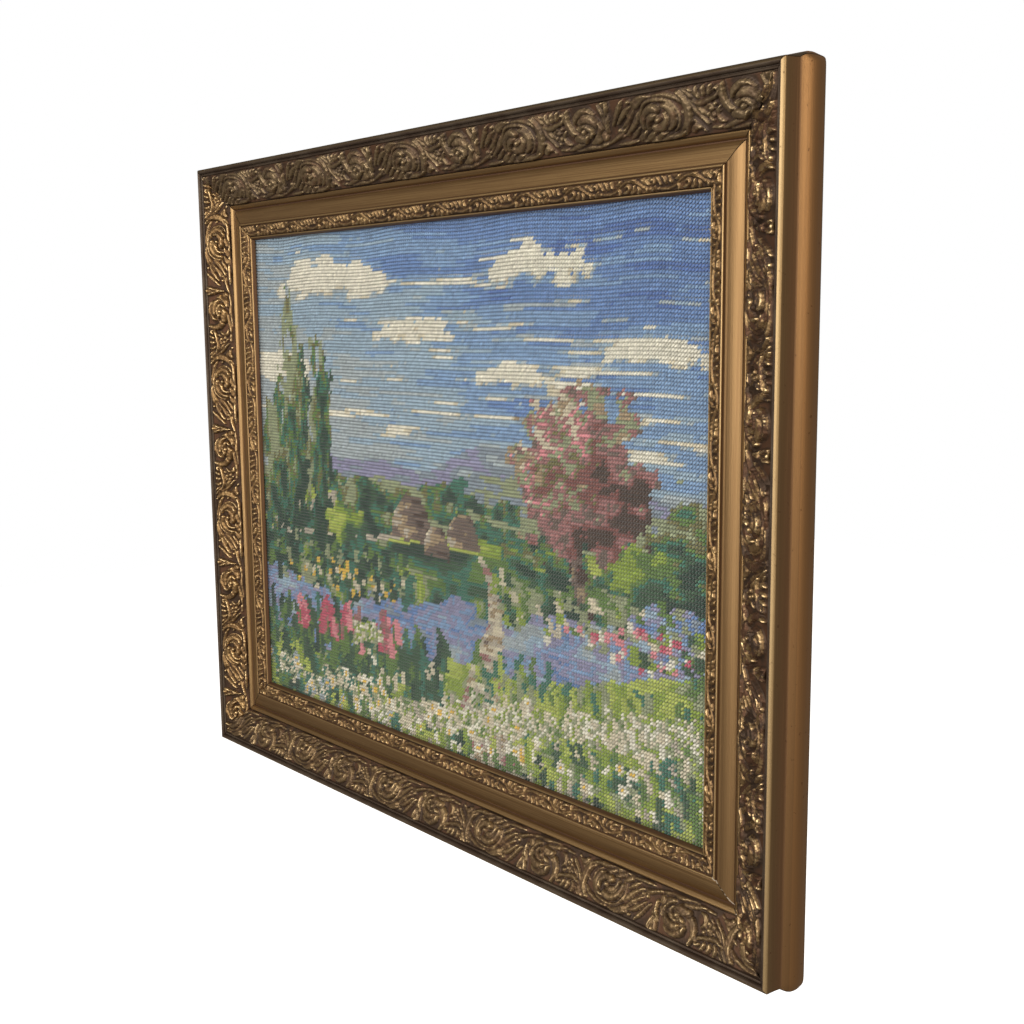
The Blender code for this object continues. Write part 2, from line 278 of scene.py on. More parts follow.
# Strokes of the wide band's running scroll: knots (along and across by turns), half widths, height, depth of
# the vein. Across runs from 0 at the band's foot to its width at the head. The first scroll is centred at
# (0, 13), the second at (60, 13).
SCROLL_STROKES = [
    # stem that climbs over the first scroll and dives under the second
    ([-26, 6, -20, 12, -13, 19, -4, 23, 6, 23.6, 15, 21, 22, 16], [0.8, 1.3, 1.5, 1.3, 1.0], 2.3, 0),
    ([36, 3.4, 46, 2.6, 58, 2.2, 70, 2.6, 80, 4, 90, 6], [0.6, 1.3, 1.5, 1.3, 0.8], 2.2, 0),
    # sheath of long leaves that falls to the right of the first scroll
    ([18, 24.6, 23, 20, 28, 12.5, 34, 5.6], [0.5, 1.2, 1.2, 0.3], 2.7, 0.3),
    ([21, 25, 26, 20.5, 31, 13.5, 38, 6.4], [0.4, 1.2, 1.2, 0.3], 2.9, 0.3),
    ([24, 25, 29, 20.8, 34, 15, 41.5, 8.2], [0.4, 1.1, 1.1, 0.3], 2.7, 0.3),
    ([27.5, 22, 32, 18.5, 37, 14.6, 43.5, 11], [0.4, 0.9, 1.0, 0.3], 2.5, 0.3),
    ([17, 14, 22, 9.5, 27, 5.5, 31, 2], [0.4, 1.1, 1.1, 0.3], 2.3, 0.3),
    # sheath that climbs from the second scroll over the next one
    ([78, 3.2, 88, 7, 97, 13.6, 104, 19, 112, 23.2], [0.7, 1.3, 1.4, 1.2, 0.5], 2.5, 0),
    ([92, 6, 99, 10, 104, 15, 108, 18.4], [0.4, 1.1, 1.4, 0.4], 2.4, 0.3),
    ([96, 15.4, 102, 20.6, 110, 23.6, 117, 24.2], [0.5, 2.0, 1.9, 0.4], 3.0, 0.5),
    ([84, 12.4, 88, 17, 91.5, 21.4, 94.6, 24.8], [0.4, 1.1, 1.2, 0.3], 2.9, 0.3),
    ([88, 12.6, 93, 16.8, 97.4, 19.6, 101.4, 21.2], [0.4, 1.1, 1.2, 0.3], 3.0, 0.3),
    ([91, 10.6, 96, 13.4, 99.6, 16.2, 102.6, 18.8], [0.3, 0.9, 1.0, 0.3], 2.5, 0.2),
    # first scroll: ring, crescents and commas swirling to the eye
    ([-12.2, 4.5, -14, 10, -13, 16, -8.6, 21, -1, 22, 6.6, 21, 12, 17.4, 14.2, 12, 12.4, 6.6, 8, 3.4],
     [0.5, 0.8, 0.9, 0.9, 0.9, 0.9, 0.8, 0.5], 2.3, 0),
    ([16.4, 24.2, 20.6, 19.6, 21.9, 14, 20, 7.4, 15, 2.8, 7, 1.6], [0.5, 1.3, 2.0, 1.8, 1.3, 0.6], 3.4, 0.4),
    ([-12, 5.6, -11.6, 11, -8.6, 15.4, -3.6, 17.6, 0.2, 17.2], [0.4, 1.2, 1.7, 2.2, 1.9], 3.7, 0.3),
    ([4.4, 19.2, 9, 17, 10.8, 12.4, 9, 8, 5, 5.8], [0.5, 1.6, 2.0, 1.6, 0.5], 3.4, 0.3),
    ([6.4, 15.6, 7.2, 12.2, 5.4, 9.4, 1.6, 7.6, -2.6, 8.2], [0.4, 1.1, 1.5, 2.1, 1.8], 3.8, 0.2),
    ([-8.4, 7.2, -7.6, 11, -4.8, 13.6, -1.2, 13.8, 1.4, 12.2], [0.4, 1.0, 1.4, 1.3, 1.0], 3.3, 0.2),
    berry(0.6, 11.8, 1.5, 3.6),
    # leaf that hugs the foot below the first scroll
    ([-19, 1.7, -10, 1.9, 0, 1.8, 12, 1.9, 17, 3.4], [0.5, 1.4, 1.6, 1.4, 0.6], 2.9, 0),
    ([-17.6, 3.0, -14, 4.6, -11.6, 6.4], [1.1, 1.5, 0.4], 2.9, 0.4),
    ([-11, 2.8, -7, 4.2, -4.4, 5.6], [1.1, 1.3, 0.4], 2.7, 0.4),
    ([-3, 2.6, 1, 3.8, 4, 4.2], [1.0, 1.1, 0.4], 2.6, 0.3),
    # curled leaf and blades at the head between the scrolls
    ([26.4, 18.2, 31.4, 16.4, 36.4, 17.4, 41.6, 18.2, 45.4, 20.2, 44.6, 22.8, 42.4, 22],
     [0.5, 1.3, 1.5, 1.3, 1.1, 0.9, 0.7], 3.1, 0),
    ([31, 19.6, 29.8, 22.4, 30.6, 25], [0.9, 1.3, 0.3], 2.9, 0.3),
    ([34.8, 20, 34.8, 22.6, 36, 25], [0.9, 1.3, 0.3], 2.9, 0.3),
    ([38.6, 20.4, 39.4, 22.8, 40.8, 24.8], [0.8, 1.1, 0.3], 2.7, 0.3),
    # low leaves and berries between the scrolls
    ([44.4, 13.6, 41, 10, 43, 6.4, 46, 5.4], [0.3, 1.0, 1.2, 0.4], 2.3, 0.3),
    berry(37.6, 12.4, 1.5, 2.6),
    berry(35.2, 10.2, 1.3, 2.4),
    berry(38.6, 9.4, 1.3, 2.4),
    berry(41, 14.8, 1.2, 2.4),
    ([28.6, 4.2, 24.6, 5.0, 22.6, 3.4], [0.4, 1.4, 1.2], 2.6, 0.3),
    # second scroll
    ([49.6, 24.8, 47.8, 19, 49.4, 13.4, 53.4, 10.2, 57.4, 8.6], [0.5, 1.5, 1.8, 1.5, 1.0], 3.5, 0.3),
    ([53.2, 8.4, 57, 7.6, 60.6, 8.0, 63.4, 9.2], [1.2, 2.5, 2.2, 0.7], 3.8, 0.3),
    ([54.4, 16.6, 56.6, 20.2, 61, 21.8, 66, 21.8, 70.4, 20], [0.4, 1.5, 2.0, 1.6, 0.5], 3.4, 0.4),
    ([59.6, 17.4, 63.6, 18.2, 68, 17.6, 71.2, 14.6, 71.8, 11.6], [1.1, 2.0, 1.9, 1.4, 0.4], 3.6, 0.3),
    ([73.6, 15.6, 73.8, 10.4, 70.6, 6.4, 65.4, 4.9], [0.4, 1.7, 1.9, 0.6], 3.5, 0.3),
    ([56.2, 14.6, 58.4, 13.2, 62, 13.8, 65.6, 13.4, 67.4, 10.8, 65.6, 8.2], [0.5, 1.2, 1.5, 1.3, 1.0, 0.5],
     3.2, 0.2),
    berry(61.4, 11.6, 1.5, 3.6),
    ([43.6, 2.4, 52, 4.2, 59, 4.6], [0.5, 1.2, 0.4], 2.6, 0.3),
    ([75.4, 6.0, 75.8, 7.2, 76.6, 8.6], [1.6, 1.9, 0.8], 2.9, 0.3),
    # flaring leaf that points down beside the second scroll
    ([79.2, 24.4, 79.1, 20.6, 79.4, 14.4, 79.0, 8.4], [3.0, 2.2, 1.0, 0.3], 3.6, 0.6),
    ([76.2, 25, 76.8, 22.4, 78.4, 18.6], [0.6, 1.2, 0.5], 3.3, 0),
    ([82.4, 25, 81.8, 22.4, 80.4, 18.6], [0.6, 1.2, 0.5], 3.3, 0),
    # berries on the climbing sheath
    berry(99.0, 23.2, 1.2, 2.8),
    berry(88.0, 9.0, 1.2, 2.5),
    berry(91.8, 8.6, 1.0, 2.4),
    ([104.4, 9.4, 100.4, 6.4, 95.4, 3.2], [0.4, 1.2, 0.4], 2.4, 0.3),
    ([84.6, 1.8, 93, 1.7, 101, 2.2], [0.4, 1.2, 0.4], 2.6, 0),
]
SCROLL_WIDTH = 25.8

# Strokes of the narrow leaf strip.
LEAF_STROKES = [
    ([0, 2, 5, 4.6, 11, 6, 17, 5.2, 22, 2.8, 27, 1.6, 34, 1.4, 41, 1.2, 46.5, 2], [0.45, 0.6, 0.7, 0.6, 0.5],
     1.1, 0),
    ([6, 1.2, 8.6, 1.4, 11, 2.8, 10.2, 4.2, 8.4, 3.8], [0.4, 0.8, 0.8, 0.6], 1.6, 0),
    ([12.6, 0.9, 14.4, 2.2, 15, 3.8], [0.9, 0.8, 0.25], 1.6, 0.2),
    ([17.8, 0.8, 18.2, 2.0, 18, 3.6], [0.9, 0.9, 0.25], 1.7, 0.2),
    ([2.4, 0.8, 2.6, 1.8, 2, 2.8], [0.8, 0.8, 0.25], 1.5, 0.2),
    ([21.6, 6.4, 23.6, 5.2, 25.8, 4.8, 27, 3.8], [0.6, 1.0, 0.8, 0.3], 1.7, 0.2),
    ([26.8, 6.5, 28.8, 5.6, 31, 5.8, 31.6, 4.6, 30.2, 4.0], [0.4, 0.8, 0.8, 0.6], 1.6, 0),
    ([33.6, 6.5, 35.2, 5.0, 36, 3.2], [0.9, 0.9, 0.25], 1.6, 0.2),
    ([38.6, 6.5, 39.6, 5.2, 40.4, 3.4], [0.9, 0.9, 0.25], 1.6, 0.2),
    ([43.6, 6.4, 43.4, 5, 44.6, 3.6], [0.8, 0.8, 0.25], 1.5, 0.2),
    ([28.6, 1.0, 30.4, 2.2, 31.4, 2.8], [0.7, 0.8, 0.3], 1.5, 0),
    ([24.2, 0.8, 24.4, 1.8, 23.8, 2.8], [0.7, 0.7, 0.25], 1.5, 0),
    ([4.4, 6.4, 3.2, 5.4, 1.4, 5.2], [0.7, 0.8, 0.3], 1.5, 0),
    ([13.4, 6.6, 15, 6.6, 17, 6.2], [0.4, 0.6, 0.3], 1.4, 0),
]
LEAF_WIDTH = 7.2


def smooth_path(knots, widths, step=0.3):
    """Dense points and half widths along a smooth curve through knots, given along and across by turns."""
    knots = np.reshape(knots, (-1, 2)).astype(float)
    padded = np.vstack([2 * knots[0] - knots[1], knots, 2 * knots[-1] - knots[-2]])
    pieces = []
    for a, b, c, d in zip(padded, padded[1:], padded[2:], padded[3:]):
        t = np.linspace(0, 1, max(2, int(np.linalg.norm(c - b) / step)), endpoint=False)[:, None]
        pieces.append(0.5 * (2 * b + (c - a) * t + (2 * a - 5 * b + 4 * c - d) * t ** 2
                             + (3 * b - a - 3 * c + d) * t ** 3))
    path = np.vstack(pieces + [knots[-1:]])
    spread = np.linspace(0, 1, len(path))
    return path, np.interp(spread, np.linspace(0, 1, len(widths)), widths)


def relief_tile(strokes, period, width, moat, mounds=()):
    """Height of a running ornament over one period: each stroke lies over the ones before it.

    Strokes with a vein are leaves: their edges are lobed, and ribs run from the vein to the lobes. Mounds
    (along, across, radius, rise) lift the ground under the scrolls.
    """
    along = np.arange(0, period, TILE_STEP)
    across = np.arange(0, width + TILE_STEP, TILE_STEP)
    height = np.zeros((len(across), len(along)))
    for knots, widths, rise, vein in strokes:
        path, halves = smooth_path(knots, widths)
        way = np.gradient(path, axis=0)
        way /= np.maximum(np.linalg.norm(way, axis=1), 1e-6)[:, None]
        run = np.concatenate([[0], np.cumsum(np.linalg.norm(np.diff(path, axis=0), axis=1))])
        if vein:
            halves = halves * (0.98 + 0.36 * abs(np.sin(np.pi * run / LOBE_LENGTH)))
        room = max(halves) + 3 * moat
        near = np.full(height.shape, FAR)
        share = np.full(height.shape, FAR)
        rib = np.zeros(height.shape)
        for (x, y), (way_x, way_y), half, far in zip(path, way, halves, run):
            columns = np.arange(math.floor((x - room) / TILE_STEP), math.ceil((x + room) / TILE_STEP))
            rows = np.arange(max(0, math.floor((y - room) / TILE_STEP)),
                             min(len(across), math.ceil((y + room) / TILE_STEP)))
            spot = np.ix_(rows, columns % len(along))
            down, right = rows[:, None] * TILE_STEP - y, columns[None, :] * TILE_STEP - x
            gap = np.hypot(down, right)
            closer = gap / half < share[spot]
            beside = abs(right * way_y - down * way_x)
            rib[spot] = np.where(closer, far - 0.9 * beside, rib[spot])
            near[spot] = np.minimum(near[spot], gap - half)
            share[spot] = np.minimum(share[spot], gap / half)
        dome = np.sqrt(np.clip(1 - share ** 2, 0, 1))
        body = rise * (0.74 + 0.26 * dome)
        if vein:
            ribs = 0.5 - 0.5 * np.cos(2 * np.pi * rib / LOBE_LENGTH)
            groove = np.exp(-(share / 0.25) ** 2) + 0.55 * ribs * np.clip(share * 1.6, 0, 1)
            body = body - vein * groove
        valley = 1 - 0.65 * np.exp(-(np.clip(near, 0, FAR) / moat) ** 2)
        height = np.where(near < 0, np.maximum(body, 0), height * valley)
    for centre_along, centre_across, radius, rise in mounds:
        beside = (along[None, :] - centre_along + period / 2) % period - period / 2
        distance = np.hypot(beside, across[:, None] - centre_across) / radius
        height = height + rise * np.clip(1 - distance ** 2, 0, 1) ** 1.2
    uneven = blur(np.random.default_rng(8).normal(0, 1, height.shape), 3)
    return height + uneven * (0.9 * np.clip(height, 0.2, 1))


def blur(height, cells):
    """Box blur that wraps along the pattern."""
    out = height.copy()
    for axis in (0, 1):
        wrapped = [np.roll(out, shift, axis) for shift in range(-cells, cells + 1)]
        out = sum(wrapped) / len(wrapped)
    return out


def read_between(grid, x, y):
    """Reads a grid between its cells. It repeats along x."""
    x0, y0 = np.floor(x).astype(int), np.floor(y).astype(int)
    fx, fy = x - x0, y - y0
    x0, x1 = x0 % grid.shape[1], (x0 + 1) % grid.shape[1]
    low = grid[y0, x0] * (1 - fx) + grid[y0, x1] * fx
    high = grid[y0 + 1, x0] * (1 - fx) + grid[y0 + 1, x1] * fx
    return low * (1 - fy) + high * fy


def sample(tile, period, along, across):
    """Reads a tile at places along (repeating) and across."""
    rows = np.clip(across / TILE_STEP, 0, tile.shape[0] - 1.001)
    return read_between(tile, (along % period) / TILE_STEP, rows)


def tile_ground(tile):
    """The ground's own height between the strokes of a tile, from its lowest places nearby."""
    low = tile.copy()
    for shift in range(-GROUND_REACH, GROUND_REACH + 1, 2):
        low = np.minimum(low, np.roll(tile, shift, 1))
    return blur(low, GROUND_BLUR)


def quads(*corners):
    return np.stack(corners, -1).reshape(-1, 4).tolist()


def skirted_grid(rows, columns):
    """Faces of a grid of points with a skirt round it, the points on its edge, and those below them.

    The skirt's own points follow after the grid's.
    """
    index = np.arange(rows * columns).reshape(rows, columns)
    edge = np.concatenate([index[0], index[1:, -1], index[-1, -2::-1], index[-2:0:-1, 0]])
    under = rows * columns + np.arange(len(edge))
    faces = quads(index[:-1, :-1], index[:-1, 1:], index[1:, 1:], index[1:, :-1])
    faces += quads(edge, under, np.roll(under, -1), np.roll(edge, -1))
    return faces, edge, under


def build_relief(name, side, foot, head, tile, width, period, phase, step, sink, dust_and_shade, lost_gold_and_shade):
    """A closed carved strip between foot and head of a slope, up to the rail's mitres."""
    foot, head = np.array(foot), np.array(head)
    slope = head - foot
    normal = np.array((-slope[1], slope[0])) / np.linalg.norm(slope)
    rows = int(round(np.linalg.norm(slope) / step)) + 1
    columns = int(round(2 * reach(side, (foot[0] + head[0]) / 2) / step)) + 1
    share = np.linspace(0, 1, rows)[:, None]
    offset = foot[0] + slope[0] * share
    along = np.linspace(-1, 1, columns)[None, :] * reach(side, offset)
    across = np.broadcast_to(share * width, along.shape)
    rise = sample(tile, period, along - phase, across)
    raised = rise - sample(tile_ground(tile), period, along - phase, across)
    hollow = rise - sample(blur(tile, HOLLOW_BLUR), period, along - phase, across)
    face = rail_points(side, along, offset + normal[0] * rise, foot[1] + slope[1] * share + normal[1] * rise)
    base = rail_points(side, along, offset - normal[0] * sink, foot[1] + slope[1] * share - normal[1] * sink)
    faces, edge, under = skirted_grid(rows, columns)
    near, far = under[:columns], under[columns + rows - 2:2 * columns + rows - 2][::-1]
    faces += quads(near[:-1], far[:-1], far[1:], near[1:])
    faces.append(tuple(under[2 * columns + rows - 3:].tolist() + near[:1].tolist()))
    faces.append(tuple(under[columns - 1:columns + rows - 1].tolist()))
    points = np.concatenate([face.reshape(-1, 3), base.reshape(-1, 3)[edge]])
    skirt = np.zeros(len(edge))
    values = {"raised": np.append(raised, skirt), "hollow": np.append(hollow, skirt),
              "dust_and_shade": dust_and_shade, "lost_gold_and_shade": lost_gold_and_shade}
    piece = mesh_piece(name, points, faces, values)
    face_outwards(piece)
    piece.data.shade_smooth()
    return piece


# Needlework

# Linear colours of the yarns, in thousandths.
YARNS = {
    "deep blue": (98, 175, 410), "mid blue": (145, 250, 480), "sky blue": (215, 340, 530),
    "pale sky": (310, 420, 520), "haze": (370, 430, 460), "grey blue": (235, 290, 345),
    "lilac": (280, 280, 420), "pale cream": (720, 700, 600), "cream": (600, 550, 420),
    "stone": (440, 400, 330), "teal": (55, 175, 125), "dark green": (28, 62, 45), "bottle": (50, 105, 60),
    "mid green": (120, 210, 60), "leaf green": (250, 345, 60), "lime": (400, 470, 110),
    "olive": (170, 165, 70), "sage": (290, 330, 200), "rose": (480, 100, 150), "pink": (660, 270, 300),
    "dusty pink": (330, 165, 160), "brick": (215, 90, 80), "grey brown": (165, 125, 105),
    "dark brown": (75, 50, 40), "tan": (350, 270, 170), "yellow": (680, 460, 90),
}
YARN_NAMES = list(YARNS)


def yarn_numbers(ramp):
    """The numbers of the yarns that a ramp names."""
    return np.array([YARN_NAMES.index(name) for name in ramp.split(", ")])


class Design:
    """A countryside worked in yarn: one yarn number for each stitch, painted from the back to the front."""

    def __init__(self, rows, columns, seed):
        self.rows, self.columns = rows, columns
        self.random = np.random.default_rng(seed)
        self.yarn = np.zeros((rows, columns), dtype=int)
        row, column = np.mgrid[0:rows, 0:columns].astype(float)
        self.y, self.x = row / rows, column / columns

    def patches(self, wide, tall):
        """Smooth random patches between 0 and 1, of a size in stitches, with a finer layer over them."""
        total = np.zeros((self.rows, self.columns))
        for shrink, weight in ((1, 0.68), (2.3, 0.32)):
            cell_x, cell_y = max(wide / shrink, 1), max(tall / shrink, 1)
            coarse = self.random.random((int(self.rows / cell_y) + 3, int(self.columns / cell_x) + 3))
            across, down = self.x * self.columns / cell_x, self.y * self.rows / cell_y
            total += weight * read_between(coarse, across, down)
        return np.clip((total - 0.5) * 1.5 + 0.5, 0, 1)

    def paint(self, where, ramp, tone):
        """Works a zone in a ramp of yarns by tone, 0 to 1."""
        numbers = yarn_numbers(ramp)
        step = np.clip((tone * len(numbers)).astype(int), 0, len(numbers) - 1)
        self.yarn = np.where(where, numbers[step], self.yarn)

    def tufts(self, count, left, right, top, bottom, height, ramp, wide=2):
        """Upright ragged strokes of a few stitches, as grass and stems are worked, from the back forward."""
        numbers = yarn_numbers(ramp)
        feet = np.sort(self.random.uniform(top, bottom, count)) * self.rows
        for foot in feet:
            x = self.random.uniform(left, right) * self.columns
            tall = height * self.random.uniform(0.5, 1.3)
            number = numbers[self.random.integers(len(numbers))]
            slant = self.random.normal(0, 0.12)
            for step in range(int(tall)):
                row = int(foot - step)
                width = wide * (1 - 0.6 * step / tall)
                start = x + slant * step + self.random.uniform(-0.7, 0.7)
                for column in range(int(start), int(start + width) + 1):
                    if 0 <= row < self.rows and 0 <= column < self.columns:
                        self.yarn[row, column] = number

    def drift(self, centre, size, ramp, grain=(2.0, 2.4)):
        """A ragged mass of small flecks about a centre."""
        gap = np.hypot((self.x - centre[0]) / size[0], (self.y - centre[1]) / size[1])
        self.paint(gap + 1.1 * (self.patches(6, 4) - 0.5) < 1, ramp, self.patches(*grain))

    def blooms(self, count, centre, spread, ramp, size=1.6, heart=None):
        """Small round flower heads scattered about a centre."""
        numbers = yarn_numbers(ramp)
        places = self.random.normal(centre, spread, (count, 2))
        for (x, y), radius in zip(places, self.random.uniform(0.7, 1.2, count) * size):
            gap = np.hypot(self.x * self.columns - x * self.columns, self.y * self.rows - y * self.rows)
            self.yarn[gap < radius] = numbers[self.random.integers(len(numbers))]
            if heart and radius > 1.3:
                self.yarn[gap < 0.8] = YARN_NAMES.index(heart)


def countryside(rows, columns):
    """The picture's own landscape: sky, hills, poplars, stacks, a russet tree and a meadow in flower."""
    art = Design(rows, columns, seed=11)
    x, y, patches, paint, tufts, blooms = art.x, art.y, art.patches, art.paint, art.tufts, art.blooms

    # sky, deep at the top right, hazy to the left and towards the hills
    bands = patches(26, 2.2)
    tone = 0.16 + 1.05 * np.clip(0.62 - x, 0, 1) + 0.9 * np.clip(y, 0, 0.5) + 0.46 * (bands - 0.5)
    paint(y < 2, "deep blue, mid blue, mid blue, sky blue, sky blue, pale sky, pale sky, haze, haze",
          tone + 0.1 * (patches(7, 4) - 0.5))
    streak = patches(26, 1.6) * (y > 0.14 - 0.1 * x) * (y < 0.42) + 0.1 * (x - 0.5)
    paint(streak > 0.76, "haze, pale sky, cream, pale cream", (streak - 0.76) * 6)

    # clouds: heaped rounds on a flat base, shaded below
    def cloud(cx, cy, size, seed):
        local = np.random.default_rng(seed)
        shape = np.full(x.shape, -9.0)
        for step in range(9):
            way = (step - 4) / 4
            px = cx + way * size * 1.7
            py = cy - size * 0.35 * (1 - way * way) * local.uniform(0.3, 1.4)
            radius = size * local.uniform(0.32, 0.62) * (1.15 - 0.6 * way * way)
            shape = np.maximum(shape, 1 - np.hypot((x - px) * 1.3, y - py) / radius)
        edge = shape + 1.0 * (patches(9, 1.8) - 0.5)
        paint((edge > 0.02) & (y < cy + size * 0.22 + 0.012 * patches(9, 2)),
              "haze, pale sky, haze, cream, pale cream, pale cream",
              0.62 + 1.3 * edge - 0.9 * np.clip(y - cy + size * 0.25, -1, 1) / size
              + 0.5 * (patches(5, 3) - 0.5))
    for place in ((0.22, 0.12, 0.08, 2), (0.43, 0.215, 0.05, 5), (0.7, 0.11, 0.052, 9),
                  (0.9, 0.25, 0.045, 4), (0.08, 0.29, 0.055, 7), (0.64, 0.29, 0.035, 12)):
        cloud(*place)

    # far hills
    wave = 0.03 * np.sin(6.0 * x + 0.6) + 0.02 * np.sin(13 * x + 2) + 0.01 * np.sin(31 * x)
    paint(y > 0.44 + wave, "grey blue, lilac, grey blue, haze", patches(14, 4))
    paint(y > 0.478 + 0.7 * wave, "teal, grey blue, sage, grey blue", patches(9, 4))
    # fields beyond the hedges
    fields = 0.51 + 0.012 * np.sin(9 * x + 1)
    paint(y > fields, "sage, leaf green, lime, stone, cream, leaf green",
          0.05 + 5.0 * (y - fields) + 0.5 * (patches(22, 3) - 0.5) + 0.22 * np.sin(8 * x))
    for level, thick, start, end in ((0.522, 0.016, 0.0, 0.66), (0.552, 0.02, 0.34, 1.0),
                                     (0.59, 0.024, 0.0, 0.4), (0.606, 0.016, 0.62, 1.0)):
        line = level + 0.012 * np.sin(17 * x + 40 * level)
        hedge = (y - line > -thick * (0.3 + 2.2 * patches(4, 5))) & (y < line + thick * 0.6)
        paint(hedge & (x > start) & (x < end), "dark green, bottle, teal, mid green, olive, sage",
              0.25 + 0.9 * (patches(3, 3) - 0.35) + 8 * (line - y))

    # meadow
    meadow = 0.62 + 0.02 * np.sin(5 * x + 2)
    tone = 0.24 + 1.0 * (y - meadow) + 0.3 * (x - 0.45) + 1.05 * (patches(9, 7) - 0.5)
    paint(y > meadow, "dark green, bottle, teal, mid green, sage, leaf green, lime, lime", tone)

    # a broad drift of blue flowers across the meadow
    bed = abs(y - (0.735 + 0.05 * np.sin(4.2 * x + 0.4) + 0.02 * np.sin(11 * x)))
    bed = bed - 0.06 * (0.5 + 0.9 * patches(12, 5))
    paint(bed < 0, "grey blue, mid blue, lilac, sky blue, lilac, pale sky, haze",
          patches(9, 3.5) + 0.12 * (patches(2.2, 2.2) - 0.5))

    # path that winds from the lower right to the hedge
    middle = 0.545 + 0.3 * (y - 0.63) + 0.05 * np.sin(12 * y)
    half = 0.006 + 0.2 * np.clip(y - 0.6, 0, 1) ** 1.3
    path = (abs(x - middle) < half * (0.75 + 0.5 * patches(5, 3))) & (y > 0.6)
    paint(path, "grey brown, stone, tan, cream, stone, dusty pink", patches(8, 2.6))

    # trees: crowns in patches of leaves, lit from the upper left
    def crown(cx, cy, wide, tall, ramp, lift=0.0, leaf=(4, 4), ragged=0.75):
        shape = 1 - np.hypot((x - cx) / wide, (y - cy) / tall) + ragged * (patches(*leaf) - 0.5)
        light = 0.5 + lift - 0.3 * (x - cx) / wide - 0.34 * (y - cy) / tall
        paint(shape > 0, ramp, light + 1.0 * (patches(*leaf) - 0.5))
    greens = "dark green, dark green, bottle, teal, mid green, olive, sage"
    for cx, top, base, wide in ((0.055, 0.33, 0.66, 0.04), (0.115, 0.17, 0.67, 0.036),
                                (0.185, 0.26, 0.66, 0.033)):
        crown(cx, (top + base) / 2, wide, (base - top) / 2, greens, leaf=(2.2, 6), ragged=0.9)
    crown(0.3, 0.55, 0.06, 0.065, greens, 0.08)
    crown(0.245, 0.585, 0.045, 0.045, "bottle, mid green, leaf green, lime", 0.0)
    trunk = abs(x - 0.775 - 0.01 * np.sin(30 * y)) < 0.011 + 0.03 * np.clip(y - 0.6, 0, 1)
    paint(trunk & (y > 0.5) & (y < 0.67), "dark brown, grey brown, tan", patches(2, 5))
    crown(0.775, 0.445, 0.115, 0.14, "dark brown, brick, dusty pink, grey brown, dusty pink, sage, tan",
          0.02, leaf=(5, 4), ragged=0.6)
    crown(0.745, 0.41, 0.07, 0.08, "brick, olive, dusty pink, sage, pink, dusty pink, cream", -0.05,
          leaf=(4, 3), ragged=1.1)
    crown(0.955, 0.535, 0.07, 0.085, greens, 0.1)
    crown(0.885, 0.585, 0.05, 0.045, "bottle, teal, mid green, leaf green", 0.0)

    # round hay stacks, lit from the left
    for cx, cy, size in ((0.42, 0.59, 0.08), (0.54, 0.588, 0.058), (0.48, 0.612, 0.05)):
        across = abs(x - cx) / (size * 0.62)
        shape = 1 - across ** 2.4 - (np.clip(cy - y, 0, 1) / size) ** 1.7 + 0.22 * (patches(3, 3) - 0.5)
        paint((shape > 0) & (y < cy + 0.012 * patches(4, 3)),
              "dark brown, grey brown, grey brown, tan, stone, cream",
              0.46 - 0.42 * (x - cx) / size + 0.7 * (patches(6, 1.8) - 0.5))

    # foreground, from the back to the front
    tufts(150, 0.0, 0.42, 0.64, 0.74, 5, "dark green, bottle, mid green, teal, sage")
    tufts(110, 0.6, 1.0, 0.64, 0.73, 4, "bottle, mid green, leaf green, cream, sage")
    blooms(46, (0.24, 0.7), (0.09, 0.018), "yellow, cream, yellow", 1.1)
    blooms(40, (0.86, 0.7), (0.07, 0.016), "pink, pale cream, rose", 1.2)
    tufts(210, 0.0, 0.5, 0.8, 0.93, 8, "dark green, bottle, teal, mid green, bottle")
    tufts(170, 0.55, 1.0, 0.8, 0.92, 7, "leaf green, lime, mid green, teal, sage")
    for _ in range(17):
        foot_x, foot_y = art.random.uniform(0.04, 0.4), art.random.uniform(0.84, 0.9)
        tufts(3, foot_x, foot_x + 0.004, foot_y, foot_y + 0.01, 13, "bottle, mid green", wide=1)
        tufts(4, foot_x - 0.003, foot_x + 0.008, foot_y - 0.05, foot_y - 0.04, 9,
              "rose, pink, rose, dusty pink")
    tufts(150, 0.0, 1.0, 0.92, 1.06, 9, "bottle, teal, mid green, leaf green, lime, sage")
    flecks = "mid green, sage, cream, leaf green, pale cream, sage, cream"
    for step in range(17):
        centre = (0.3 + 0.72 * (step * 0.381966 % 1), 0.8 + 0.17 * (step * 0.618034 % 1))
        art.drift(centre, (0.045, 0.026), flecks)
    for centre in ((0.06, 0.93), (0.15, 0.955), (0.22, 0.91)):
        art.drift(centre, (0.04, 0.024), "bottle, sage, cream, teal, pale cream, sage")
    tufts(120, 0.3, 1.0, 0.84, 1.0, 4, "cream, pale cream, stone, cream", wide=1)
    blooms(40, (0.62, 0.93), (0.24, 0.03), "pale cream, cream, pale cream", 1.7, "yellow")
    blooms(25, (0.16, 0.94), (0.1, 0.022), "pale cream, cream, haze", 1.6, "yellow")
    tufts(70, 0.0, 1.0, 1.0, 1.08, 10, "dark green, teal, lime, leaf green")
    return art.yarn


def sag(x):
    """How far the top rows droop between the places where the canvas is pulled."""
    out = np.zeros_like(x)
    for left, right, depth in zip(SAG_CRESTS, SAG_CRESTS[1:], SAG_DEPTHS):
        inside = (x >= left) & (x < right)
        out = np.where(inside, depth * np.sin(np.pi * (x - left) / (right - left)) ** 2, out)
    return out


